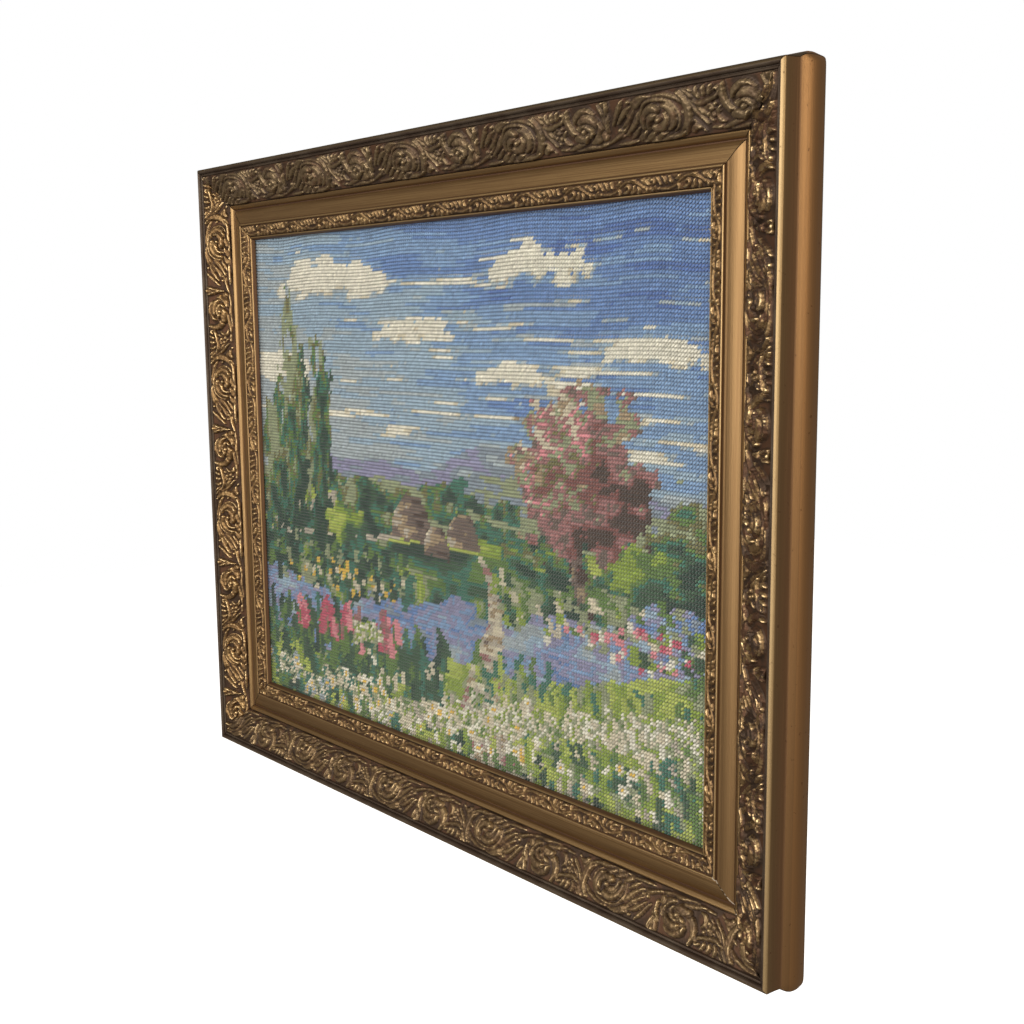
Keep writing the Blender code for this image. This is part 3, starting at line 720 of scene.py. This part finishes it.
def stitch_points():
    """Places and colours of all stitches by row and column, and which of them the canvas has room for."""
    columns = round(2 * HALF_WIDTH / STITCH_PITCH) + 2 * HIDDEN_STITCHES
    rows = round(2 * HALF_HEIGHT / STITCH_PITCH) + 2 * HIDDEN_STITCHES
    random = np.random.default_rng(5)
    row, column = np.mgrid[0:rows, 0:columns]
    x = (column - (columns - 1) / 2) * STITCH_PITCH
    z = ((rows - 1) / 2 - row) * STITCH_PITCH
    below_top = HALF_HEIGHT - z
    z = z - sag(x) * np.exp(-np.clip(below_top, 0, None) / SAG_FADE)
    x = x + random.normal(0, 0.05, x.shape)
    z = z + random.normal(0, 0.05, x.shape)
    low = STITCH_PITCH * 0.55
    inside = (abs(x) < HALF_WIDTH + REBATE_COVER - low) & (abs(z) < HALF_HEIGHT + REBATE_COVER - low)
    yarn = countryside(rows, columns)
    colours = np.array(list(YARNS.values()))[yarn] / 1000
    dye = 1 + random.normal(0, DYE_BY_STITCH, (rows, columns, 1))
    dye = dye + random.normal(0, DYE_BY_ROW, (rows, 1, 1))
    # Painted shade of the lip, with soil: the yarn darkens towards the sight edge.
    rim = np.minimum(HALF_WIDTH - abs(x), HALF_HEIGHT - abs(z))[..., None]
    soil_and_shade = 1 - RIM_SOIL_AND_SHADE * np.exp(-np.clip(rim, 0, None) / RIM_SOIL_AND_SHADE_REACH)
    colours = np.clip(colours * dye * soil_and_shade, 0, 1)
    places = SIGHT_CENTRE + np.stack([x, np.full(x.shape, -CANVAS_FACE), z], -1)
    return places * MM, colours, inside


def add_node(tree, kind, settings=None, inputs=None):
    """Adds a node to a tree: its settings first, then its sockets' values or links."""
    node = tree.nodes.new(kind)
    for key, value in (settings or {}).items():
        setattr(node, key, value)
    for key, value in (inputs or {}).items():
        if isinstance(value, bpy.types.NodeSocket):
            tree.links.new(value, node.inputs[key])
        else:
            node.inputs[key].default_value = value
    return node


def stitch_tree(material):
    """Places one rounded stitch on every point, leaning as tent stitch does."""
    tree = bpy.data.node_groups.new("tent_stitches", "GeometryNodeTree")
    tree.interface.new_socket("Geometry", in_out="OUTPUT", socket_type="NodeSocketGeometry")
    kinds = {"Geometry": "Geometry", "Stitch": "Object", "Lean": "Float", "Unevenness": "Float",
             "Seed": "Int"}
    for name, kind in kinds.items():
        tree.interface.new_socket(name, in_out="INPUT", socket_type="NodeSocket" + kind)
    entry = add_node(tree, "NodeGroupInput").outputs
    uneven, seed = entry["Unevenness"], entry["Seed"]

    def sum_of(operation, first, second):
        return add_node(tree, "ShaderNodeMath", {"operation": operation}, {0: first, 1: second}).outputs[0]

    def random_between(low, high):
        return add_node(tree, "FunctionNodeRandomValue", {"data_type": "FLOAT"},
                        {2: low, 3: high, "Seed": seed}).outputs[1]
    stitch = add_node(tree, "GeometryNodeObjectInfo", inputs={"Object": entry["Stitch"]})
    lean = sum_of("ADD", entry["Lean"], random_between(sum_of("MULTIPLY", uneven, -1.0), uneven))
    rotation = add_node(tree, "ShaderNodeCombineXYZ", inputs={"Y": lean})
    size = random_between(sum_of("SUBTRACT", 1.0, uneven), sum_of("ADD", 1.0, uneven))
    placed = add_node(tree, "GeometryNodeInstanceOnPoints", inputs={
        "Points": entry["Geometry"], "Instance": stitch.outputs["Geometry"],
        "Rotation": rotation.outputs[0], "Scale": size})
    real = add_node(tree, "GeometryNodeRealizeInstances", inputs={"Geometry": placed.outputs[0]})
    finished = add_node(tree, "GeometryNodeSetMaterial",
                        inputs={"Geometry": real.outputs[0], "Material": material})
    add_node(tree, "NodeGroupOutput", inputs={0: finished.outputs[0]})
    return tree


def set_inputs(modifier, values):
    """Sets a Geometry Nodes modifier's inputs by their sockets' identifiers."""
    for item in modifier.node_group.interface.items_tree:
        if item.in_out == "INPUT" and item.name in values:
            modifier[item.identifier] = values[item.name]


def made_real(piece, name):
    """Turns a piece with a Geometry Nodes modifier into a plain mesh piece."""
    evaluated = piece.evaluated_get(bpy.context.evaluated_depsgraph_get())
    mesh = bpy.data.meshes.new_from_object(evaluated)
    piece.modifiers.clear()
    plain = bpy.data.objects.new(name, mesh)
    bpy.context.scene.collection.objects.link(plain)
    bpy.data.objects.remove(piece)
    return plain


def store_yarn(mesh, colours):
    """Gives each point of a mesh the colour of its yarn."""
    rgba = np.concatenate([colours, np.ones((len(colours), 1))], 1)
    attribute = mesh.attributes.new("yarn", "FLOAT_COLOR", "POINT")
    attribute.data.foreach_set("color", rgba.astype(np.float32).ravel())


def build_stitch_shape():
    """One stitch lying along X: a blunt-ended base and a rounded ridge of two points."""
    long, wide, crest = STITCH_LENGTH / 2, STITCH_WIDTH / 2, STITCH_CREST - CANVAS_FACE
    base = [(-1, -0.45), (-0.6, -1), (0.7, -1), (1, 0.45), (0.6, 1), (-0.7, 1)]
    points = [(x * long * MM, 0, z * wide * MM) for x, z in base]
    points += [(x * long * MM, -crest * MM, 0) for x in (-0.5, 0.5)]
    faces = [(0, 6, 5), (5, 6, 7, 4), (4, 7, 3), (3, 7, 2), (2, 7, 6, 1), (1, 6, 0), (0, 5, 4, 3, 2, 1)]
    piece = mesh_piece("one_stitch", points, faces)
    face_outwards(piece)
    piece.data.shade_smooth()
    return piece


def build_stitches(places, colours, inside, material):
    """The worked yarn, as an upper and a lower half."""
    shape = build_stitch_shape()
    halves = []
    upper = places[..., 2] > SIGHT_CENTRE[2] * MM
    for name, chosen in (("stitches_upper", upper & inside), ("stitches_lower", ~upper & inside)):
        points = mesh_piece(name + "_points", places[chosen], [])
        store_yarn(points.data, colours[chosen])
        modifier = points.modifiers.new("stitches", "NODES")
        modifier.node_group = stitch_tree(material)
        set_inputs(modifier, {"Stitch": shape, "Lean": -math.radians(STITCH_LEAN),
                              "Unevenness": STITCH_UNEVENNESS, "Seed": 3})
        half = made_real(points, name)
        front_map(half)
        halves.append(half)
    bpy.data.objects.remove(shape)
    return halves


def read_all(items, name, kind, width=1):
    """One property of all of a mesh's items."""
    numbers = np.zeros(len(items) * width, dtype=kind)
    items.foreach_get(name, numbers)
    return numbers.reshape(-1, width)


def front_map(piece):
    """Lays a baking map over a piece as it is seen from the front, its hidden backs in a strip below."""
    mesh = piece.data
    corners = read_all(mesh.loops, "vertex_index", np.int32)[:, 0]
    points = read_all(mesh.vertices, "co", np.float32, 3)
    low, high = points.min(0), points.max(0)
    flat = ((points - low) / np.maximum(high - low, 1e-6))[corners]
    normals = read_all(mesh.polygons, "normal", np.float32, 3)
    back = np.repeat(normals[:, 1] > 0.2, read_all(mesh.polygons, "loop_total", np.int32)[:, 0])
    uv = np.stack([MAP_MARGIN + (1 - 2 * MAP_MARGIN) * flat[:, 0],
                   FRONTS_START + (1 - MAP_MARGIN - FRONTS_START) * flat[:, 2]], -1)
    uv[back, 1] = MAP_MARGIN + BACK_STRIP * flat[back, 2]
    layer = mesh.uv_layers.new(name="OFBake")
    layer.data.foreach_set("uv", uv.astype(np.float32).ravel())


def build_canvas(colours):
    """The stretched canvas behind the stitches, a closed thin sheet in their colours, which its finish
    darkens as painted shade between them.
    """
    rows, columns = colours.shape[:2]
    half_x, half_z = HALF_WIDTH + REBATE_COVER, HALF_HEIGHT + REBATE_COVER
    x, z = np.meshgrid(np.linspace(-half_x, half_x, columns), np.linspace(half_z, -half_z, rows))
    front = SIGHT_CENTRE + np.stack([x, np.full(x.shape, -CANVAS_FACE), z], -1)
    faces, edge, under = skirted_grid(rows, columns)
    faces.append(tuple(under[::-1].tolist()))
    rim = front.reshape(-1, 3)[edge] + (0, CANVAS_FACE - CANVAS_BACK, 0)
    piece = mesh_piece("needlepoint_ground", np.concatenate([front.reshape(-1, 3), rim]) * MM, faces)
    colours = colours.reshape(-1, 3)
    store_yarn(piece.data, np.concatenate([colours, colours[edge]]))
    face_outwards(piece)
    return piece


# Materials

class Value:
    """A shader socket that takes part in Python sums through Math nodes."""

    def __init__(self, finish, socket):
        self.finish, self.socket = finish, socket

    def sum(self, operation, first, second):
        return self.finish.add("ShaderNodeMath", {"operation": operation}, {0: first, 1: second})

    def __add__(self, other):
        return self.sum("ADD", self, other)

    def __mul__(self, other):
        return self.sum("MULTIPLY", self, other)

    def __sub__(self, other):
        return self.sum("SUBTRACT", self, other)

    def __rsub__(self, other):
        return self.sum("SUBTRACT", other, self)

    __radd__, __rmul__ = __add__, __mul__

    def clip(self):
        return self.finish.add("ShaderNodeClamp", {}, {0: self})


class Finish:
    """A material under construction around one Principled shader."""

    def __init__(self, name, **constants):
        self.material = bpy.data.materials.new(name)
        self.material.use_nodes = True
        self.tree = self.material.node_tree
        self.shader = self.tree.nodes["Principled BSDF"]
        for socket, value in constants.items():
            self.shader.inputs[socket.replace("_", " ")].default_value = value

    def add(self, kind, settings=None, inputs=None, output=0):
        """Adds a node and returns one of its outputs."""
        inputs = {key: getattr(value, "socket", value) for key, value in (inputs or {}).items()}
        return Value(self, add_node(self.tree, kind, settings, inputs).outputs[output])

    def feed(self, socket, value):
        self.tree.links.new(value.socket, self.shader.inputs[socket])

    def place(self):
        return self.add("ShaderNodeTexCoord", output="Object")

    def vector(self, x, y, z):
        return self.add("ShaderNodeCombineXYZ", {}, {0: x, 1: y, 2: z})

    def stored(self, name, output="Fac"):
        return self.add("ShaderNodeAttribute", {"attribute_name": name}, output=output)

    def noise(self, scale, detail=4.0, place=None, roughness=0.5):
        return self.add("ShaderNodeTexNoise", {}, {"Vector": place or self.place(), "Scale": scale,
                                                   "Detail": detail, "Roughness": roughness})

    def step(self, value, low, high):
        """0 below low, 1 above high, smooth between."""
        return self.add("ShaderNodeMapRange", {"interpolation_type": "SMOOTHSTEP"},
                        {"Value": value, "From Min": low, "From Max": high})

    def mix(self, share, first, second, blend="MIX"):
        return self.add("ShaderNodeMix", {"data_type": "RGBA", "blend_type": blend},
                        {0: share, 6: self.colour(first), 7: self.colour(second)}, output=2)

    def colour(self, value):
        return value if isinstance(value, Value) else (*value, 1)

    def bump(self, height, strength, distance):
        return self.add("ShaderNodeBump", {}, {"Height": height, "Strength": strength, "Distance": distance})


GOLD = (0.31, 0.198, 0.088)
BRIGHT_GOLD = (0.66, 0.48, 0.25)
DULL_GOLD = (0.19, 0.112, 0.05)
SIDE_GOLD = (0.35, 0.188, 0.08)
PATINA = (0.048, 0.029, 0.018)
RED_BROWN = (0.094, 0.046, 0.024)
PATINA_AND_SHADE_BROWN = (0.085, 0.062, 0.042)
DUST_AND_SHADE_GOLD = (0.13, 0.094, 0.053)
GESSO = (0.55, 0.47, 0.37)
BARE_WOOD = (0.5, 0.33, 0.18)
DARK_GRAIN = (0.3, 0.18, 0.09)


def gilt_moulding_finish():
    """Satin antique gold, drawn along the rail, with patina in the quirks and bare wood at the back."""
    gilt = Finish("gilt_moulding")
    offset, height, along = gilt.stored("offset"), gilt.stored("height"), gilt.stored("along")
    streaks = gilt.noise(1.0, 5, gilt.vector(along * 0.012, offset * 1.6, height * 1.6), 0.6)
    tone = gilt.noise(1.0, 3, gilt.vector(along * 0.02, offset * 0.25, height * 0.25))
    speck = gilt.noise(1300.0, 2)
    gold = gilt.mix(gilt.step(streaks, 0.3, 0.66), DULL_GOLD, GOLD)
    gold = gilt.mix(gilt.step(tone, 0.45, 0.75) * 0.35, gold, DULL_GOLD)
    gold = gilt.mix(gilt.step(speck, 0.6, 0.72) * 0.45, gold, DULL_GOLD)

    # parts of the section, by offset from the sight edge
    def zone(low, high, blend=0.3):
        return gilt.step(offset, low, low + blend) * (1 - gilt.step(offset, high - blend, high))
    band = (zone(30.7, 57.0) + zone(3.1, 12.2)).clip()
    quirks = (zone(14.2, 15.4, 0.5) * 0.75 + zone(25.7, 27.5, 0.5) + zone(12.0, 12.9, 0.3)
              + zone(0.2, 2.0, 0.4) + zone(62.4, 63.7, 0.4) * 0.6).clip()
    outer_hollow = zone(56.4, 60.7, 0.5)
    ridge = (zone(60.0, 62.6) + zone(2.1, 3.1) * 0.7 + zone(28.0, 30.4, 0.4) * 0.1
             + zone(13.0, 14.3) * 0.5)
    gold = gilt.mix(ridge.clip() * 0.5, gold, BRIGHT_GOLD)
    gold = gilt.mix(gilt.step(offset, 62.4, 63.0) * 0.8, gold, SIDE_GOLD)
    # Dust, with painted shade by rail (most on the top), dulls the ridge and the outer side.
    gold = gilt.mix(gilt.stored("dust_and_shade") * zone(56.4, 66.0), gold, DUST_AND_SHADE_GOLD)
    # Lost gold, with painted shade where the right rail is darker, dulls the plain band.
    gold = gilt.mix(gilt.stored("lost_gold_and_shade") * zone(14.3, 26.0), gold, DULL_GOLD)
    colour = gilt.mix(quirks * gilt.step(streaks, 0.15, 0.55), gold, RED_BROWN)
    # Patina, with painted shade under the ornament and beside the ridge: the band grounds and the outer
    # hollow turn dark brown.
    dusky = gilt.mix(gilt.step(gilt.noise(45.0, 4), 0.42, 0.62) * 0.7, PATINA, PATINA_AND_SHADE_BROWN)
    colour = gilt.mix((band + outer_hollow).clip(), colour, dusky)
    scuff = gilt.step(gilt.noise(240.0, 3), 0.66, 0.74) * gilt.step(offset, 59.5, 61.0)
    colour = gilt.mix(scuff * 0.6, colour, RED_BROWN)
    joint = gilt.step(gilt.stored("joint"), 0.45, 0.75)
    colour = gilt.mix(joint * 0.75, colour, PATINA)
    crack = gilt.step(gilt.stored("gesso"), 0.5, 0.7) * zone(11.0, 31.0, 1.0)
    crack = crack * gilt.step(gilt.noise(260.0, 2), 0.38, 0.48)
    colour = gilt.mix(crack, colour, GESSO)
    front = gilt.step(height, 0.6, 1.4)
    grain = gilt.noise(1.0, 5, gilt.vector(along * 0.01, offset * 0.35, height * 0.35), 0.6)
    wood = gilt.mix(gilt.step(grain, 0.35, 0.65), BARE_WOOD, DARK_GRAIN)
    gilt.feed("Base Color", gilt.mix(front, wood, colour))
    gilt.feed("Metallic", front * (1 - crack) * (1 - quirks * 0.35) * (1 - outer_hollow * 0.5) * 0.96)
    gilt.feed("Roughness", streaks * -0.12 + 0.53 + quirks * 0.12 + zone(56.4, 62.6) * 0.06 + scuff * 0.15)
    gilt.feed("Normal", gilt.bump(streaks * 0.6 + speck * 0.4, 0.3, 0.0004))
    return gilt.material


def gilt_relief_finish(name, raise_low, raise_high, recess_share):
    """Worn gold on the raised ornament, brightest on its high edges, over a dark brown patina."""
    gilt = Finish(name)
    raised, hollow = gilt.stored("raised"), gilt.stored("hollow")
    cloudy = gilt.noise(90.0, 4)
    fine = gilt.noise(800.0, 3)
    gold = gilt.mix(gilt.step(cloudy, 0.4, 0.72), DULL_GOLD, GOLD)
    gold = gilt.mix(gilt.step(hollow + fine * 0.6 - 0.3, 0.4, 1.2) * 0.75, gold, BRIGHT_GOLD)
    shown = gilt.step(raised + (fine - 0.5) * 1.2 + (cloudy - 0.5) * 0.8, raise_low, raise_high)
    recess = gilt.step(hollow + (fine - 0.5) * 0.5, 0.0, -0.75)
    under = gilt.mix(gilt.step(cloudy, 0.4, 0.6), PATINA, RED_BROWN)
    # Dust, with painted shade by rail, dulls the ornament's gold.
    dust_and_shade = gilt.stored("dust_and_shade")
    # Lost gold, with painted shade on the right rail, lays bare the patina of the ornament.
    lost_gold_and_shade = gilt.stored("lost_gold_and_shade")
    bare = gilt.step(gilt.noise(150.0, 4) + (fine - 0.5) * 0.4 + lost_gold_and_shade * 0.08, 0.51, 0.61)
    shown = shown * (1 - (bare * (dust_and_shade * 0.4 + lost_gold_and_shade)).clip())
    colour = gilt.mix(shown, under, gilt.mix(dust_and_shade * 0.8, gold, DUST_AND_SHADE_GOLD))
    gilt.feed("Base Color", gilt.mix(recess * recess_share, colour, PATINA))
    gilt.feed("Metallic", (shown * 0.15 + 0.8) * (1 - dust_and_shade * 0.25))
    worn = gilt.step(hollow, 0.3, 1.1) * shown
    gilt.feed("Roughness", 0.6 - shown * 0.08 - worn * (0.26 - dust_and_shade * 0.08) + (fine - 0.5) * 0.24)
    gilt.feed("Normal", gilt.bump(fine, 0.35, 0.0005))
    return gilt.material


def yarn_finish():
    """Dyed wool with fibres and a soft sheen."""
    wool = Finish("needlepoint_yarn", Roughness=0.92, Sheen_Weight=0.25, Sheen_Roughness=0.5)
    dye = wool.stored("yarn", "Color")
    fibre = wool.noise(1500.0, 3)
    darker = wool.mix(1.0, dye, (0.8, 0.8, 0.8), "MULTIPLY")
    wool.feed("Base Color", wool.mix(wool.step(fibre, 0.3, 0.7), darker, dye))
    wool.feed("Normal", wool.bump(fibre, 0.4, 0.0006))
    return wool.material


def canvas_finish():
    """Stiff canvas threads in the colours of the wool that fills them, darkened as painted shade in the gaps
    between stitches.
    """
    canvas = Finish("needlepoint_ground", Roughness=0.95)
    weave = canvas.add("ShaderNodeTexWave", {"wave_type": "BANDS", "bands_direction": "X"},
                       {"Vector": canvas.place(), "Scale": 200.0})
    dye = canvas.stored("yarn", "Color")
    # Painted shade: the yarn's dye, darkened to two depths by the weave, in the gaps between stitches.
    shaded = canvas.mix(1.0, dye, (0.68, 0.68, 0.68), "MULTIPLY")
    painted_gap_shade = canvas.mix(weave, canvas.mix(1.0, dye, (0.54, 0.54, 0.54), "MULTIPLY"), shaded)
    depth = canvas.add("ShaderNodeSeparateXYZ", {}, {0: canvas.place()}, output=1)
    back = canvas.step(depth, (0.1 - CANVAS_FACE) * MM, (0.5 - CANVAS_FACE) * MM)
    canvas.feed("Base Color", canvas.mix(back, painted_gap_shade, (0.42, 0.37, 0.29)))
    return canvas.material


def board_finish():
    """Pressed brown hardboard."""
    board = Finish("backing_board", Roughness=0.8)
    mottle = board.noise(90.0, 8)
    drawn = board.add("ShaderNodeMapping", {}, {"Vector": board.place(), "Scale": (1, 1, 0.25)})
    fibre = board.noise(700.0, 4, drawn)
    tone = board.mix(board.step(mottle, 0.2, 0.8), (0.22, 0.125, 0.068), (0.28, 0.17, 0.095))
    board.feed("Base Color", board.mix(board.step(fibre, 0.55, 0.75) * 0.4, tone, (0.36, 0.24, 0.14)))
    board.feed("Normal", board.bump(fibre, 0.25, 0.0006))
    return board.material


# Assembly

moulding_material = gilt_moulding_finish()
scroll_material = gilt_relief_finish("gilt_scrollwork", raise_low=0.5, raise_high=1.3, recess_share=0.75)
leaf_material = gilt_relief_finish("gilt_leaf_strip", raise_low=-0.1, raise_high=0.4, recess_share=0.5)
scroll_tile = relief_tile(SCROLL_STROKES, SCROLL_PERIOD, SCROLL_WIDTH, moat=1.0, mounds=SCROLL_MOUNDS)
leaf_tile = relief_tile(LEAF_STROKES, LEAF_PERIOD, LEAF_WIDTH, moat=0.45)

for side, (_, _, _, _, phase) in RAILS.items():
    moulding = build_moulding(side)
    moulding.data.materials.append(moulding_material)
    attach(moulding, "root")
    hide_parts("rail_" + side)

    scrollwork = build_relief("scrollwork_" + side, side, BAND_FOOT, BAND_HEAD, scroll_tile, SCROLL_WIDTH,
                              SCROLL_PERIOD, phase - SECOND_SCROLL, step=0.65, sink=0.45, dust_and_shade=RAIL_DUST_AND_SHADE[side],
                              lost_gold_and_shade=LOST_GOLD_AND_SHADE[side])
    scrollwork.data.materials.append(scroll_material)
    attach(scrollwork, "root")
    scrolls = [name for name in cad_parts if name.startswith("scroll_" + side)]
    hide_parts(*scrolls)

    leaves = build_relief("leaf_strip_" + side, side, LEAF_FOOT, LEAF_HEAD, leaf_tile, LEAF_WIDTH,
                          LEAF_PERIOD, phase, step=0.5, sink=0.4, dust_and_shade=RAIL_DUST_AND_SHADE[side] * LEAF_DUST_AND_SHADE_SHARE,
                          lost_gold_and_shade=LEAF_LOST_GOLD)
    leaves.data.materials.append(leaf_material)
    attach(leaves, "root")

places, colours, inside = stitch_points()
stitches = build_stitches(places, colours, inside, yarn_finish())
for half in stitches:
    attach(half, "root")

ground = build_canvas(colours)
ground.data.materials.append(canvas_finish())
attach(ground, "root")
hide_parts("needlepoint_canvas")

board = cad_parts["backing_board"]
board.data.materials.clear()
board.data.materials.append(board_finish())


# Camera, light and floor

forward, up = Vector(CAMERA_FORWARD).normalized(), Vector(CAMERA_UP).normalized()
across = forward.cross(up).normalized()
camera_data = bpy.data.cameras.new("camera")
camera_data.lens = CAMERA_LENS
camera_data.sensor_width = SENSOR_WIDTH
camera_data.clip_start = 0.01
camera = bpy.data.objects.new("camera", camera_data)
turn = Matrix((across, up, -forward)).transposed().to_4x4()
camera.matrix_world = Matrix.Translation(CAMERA_PLACE) @ turn
bpy.context.scene.collection.objects.link(camera)
bpy.context.scene.camera = camera

for name, (place, target, width, height, power, colour) in LIGHTS.items():
    lamp = bpy.data.lights.new(name, "AREA")
    lamp.shape = "RECTANGLE"
    lamp.size, lamp.size_y = width, height
    lamp.energy, lamp.color = power, colour
    light = bpy.data.objects.new(name, lamp)
    light.location = place
    light.rotation_euler = (Vector(target) - Vector(place)).to_track_quat("-Z", "Y").to_euler()
    bpy.context.scene.collection.objects.link(light)

world = bpy.data.worlds.new("room")
world.use_nodes = True
bpy.context.scene.world = world
seen = add_node(world.node_tree, "ShaderNodeLightPath").outputs["Is Camera Ray"]
shade = add_node(world.node_tree, "ShaderNodeMix", {"data_type": "RGBA"}, {0: seen, 6: ROOM_LIGHT, 7: WHITE})
world.node_tree.links.new(shade.outputs[2], world.node_tree.nodes["Background"].inputs["Color"])

floor = mesh_piece("floor", [(x * FLOOR_REACH, y * FLOOR_REACH, FLOOR_HEIGHT)
                             for x, y in ((-1, -1), (1, -1), (1, 1), (-1, 1))], [(0, 1, 2, 3)])
pale = Finish("pale_floor", Base_Color=(0.9, 0.9, 0.9, 1), Roughness=0.9, Emission_Color=WHITE,
              Emission_Strength=1.0)
floor.data.materials.append(pale.material)
floor.visible_diffuse = False
floor.visible_glossy = False

bpy.context.scene.view_settings.view_transform = "Standard"
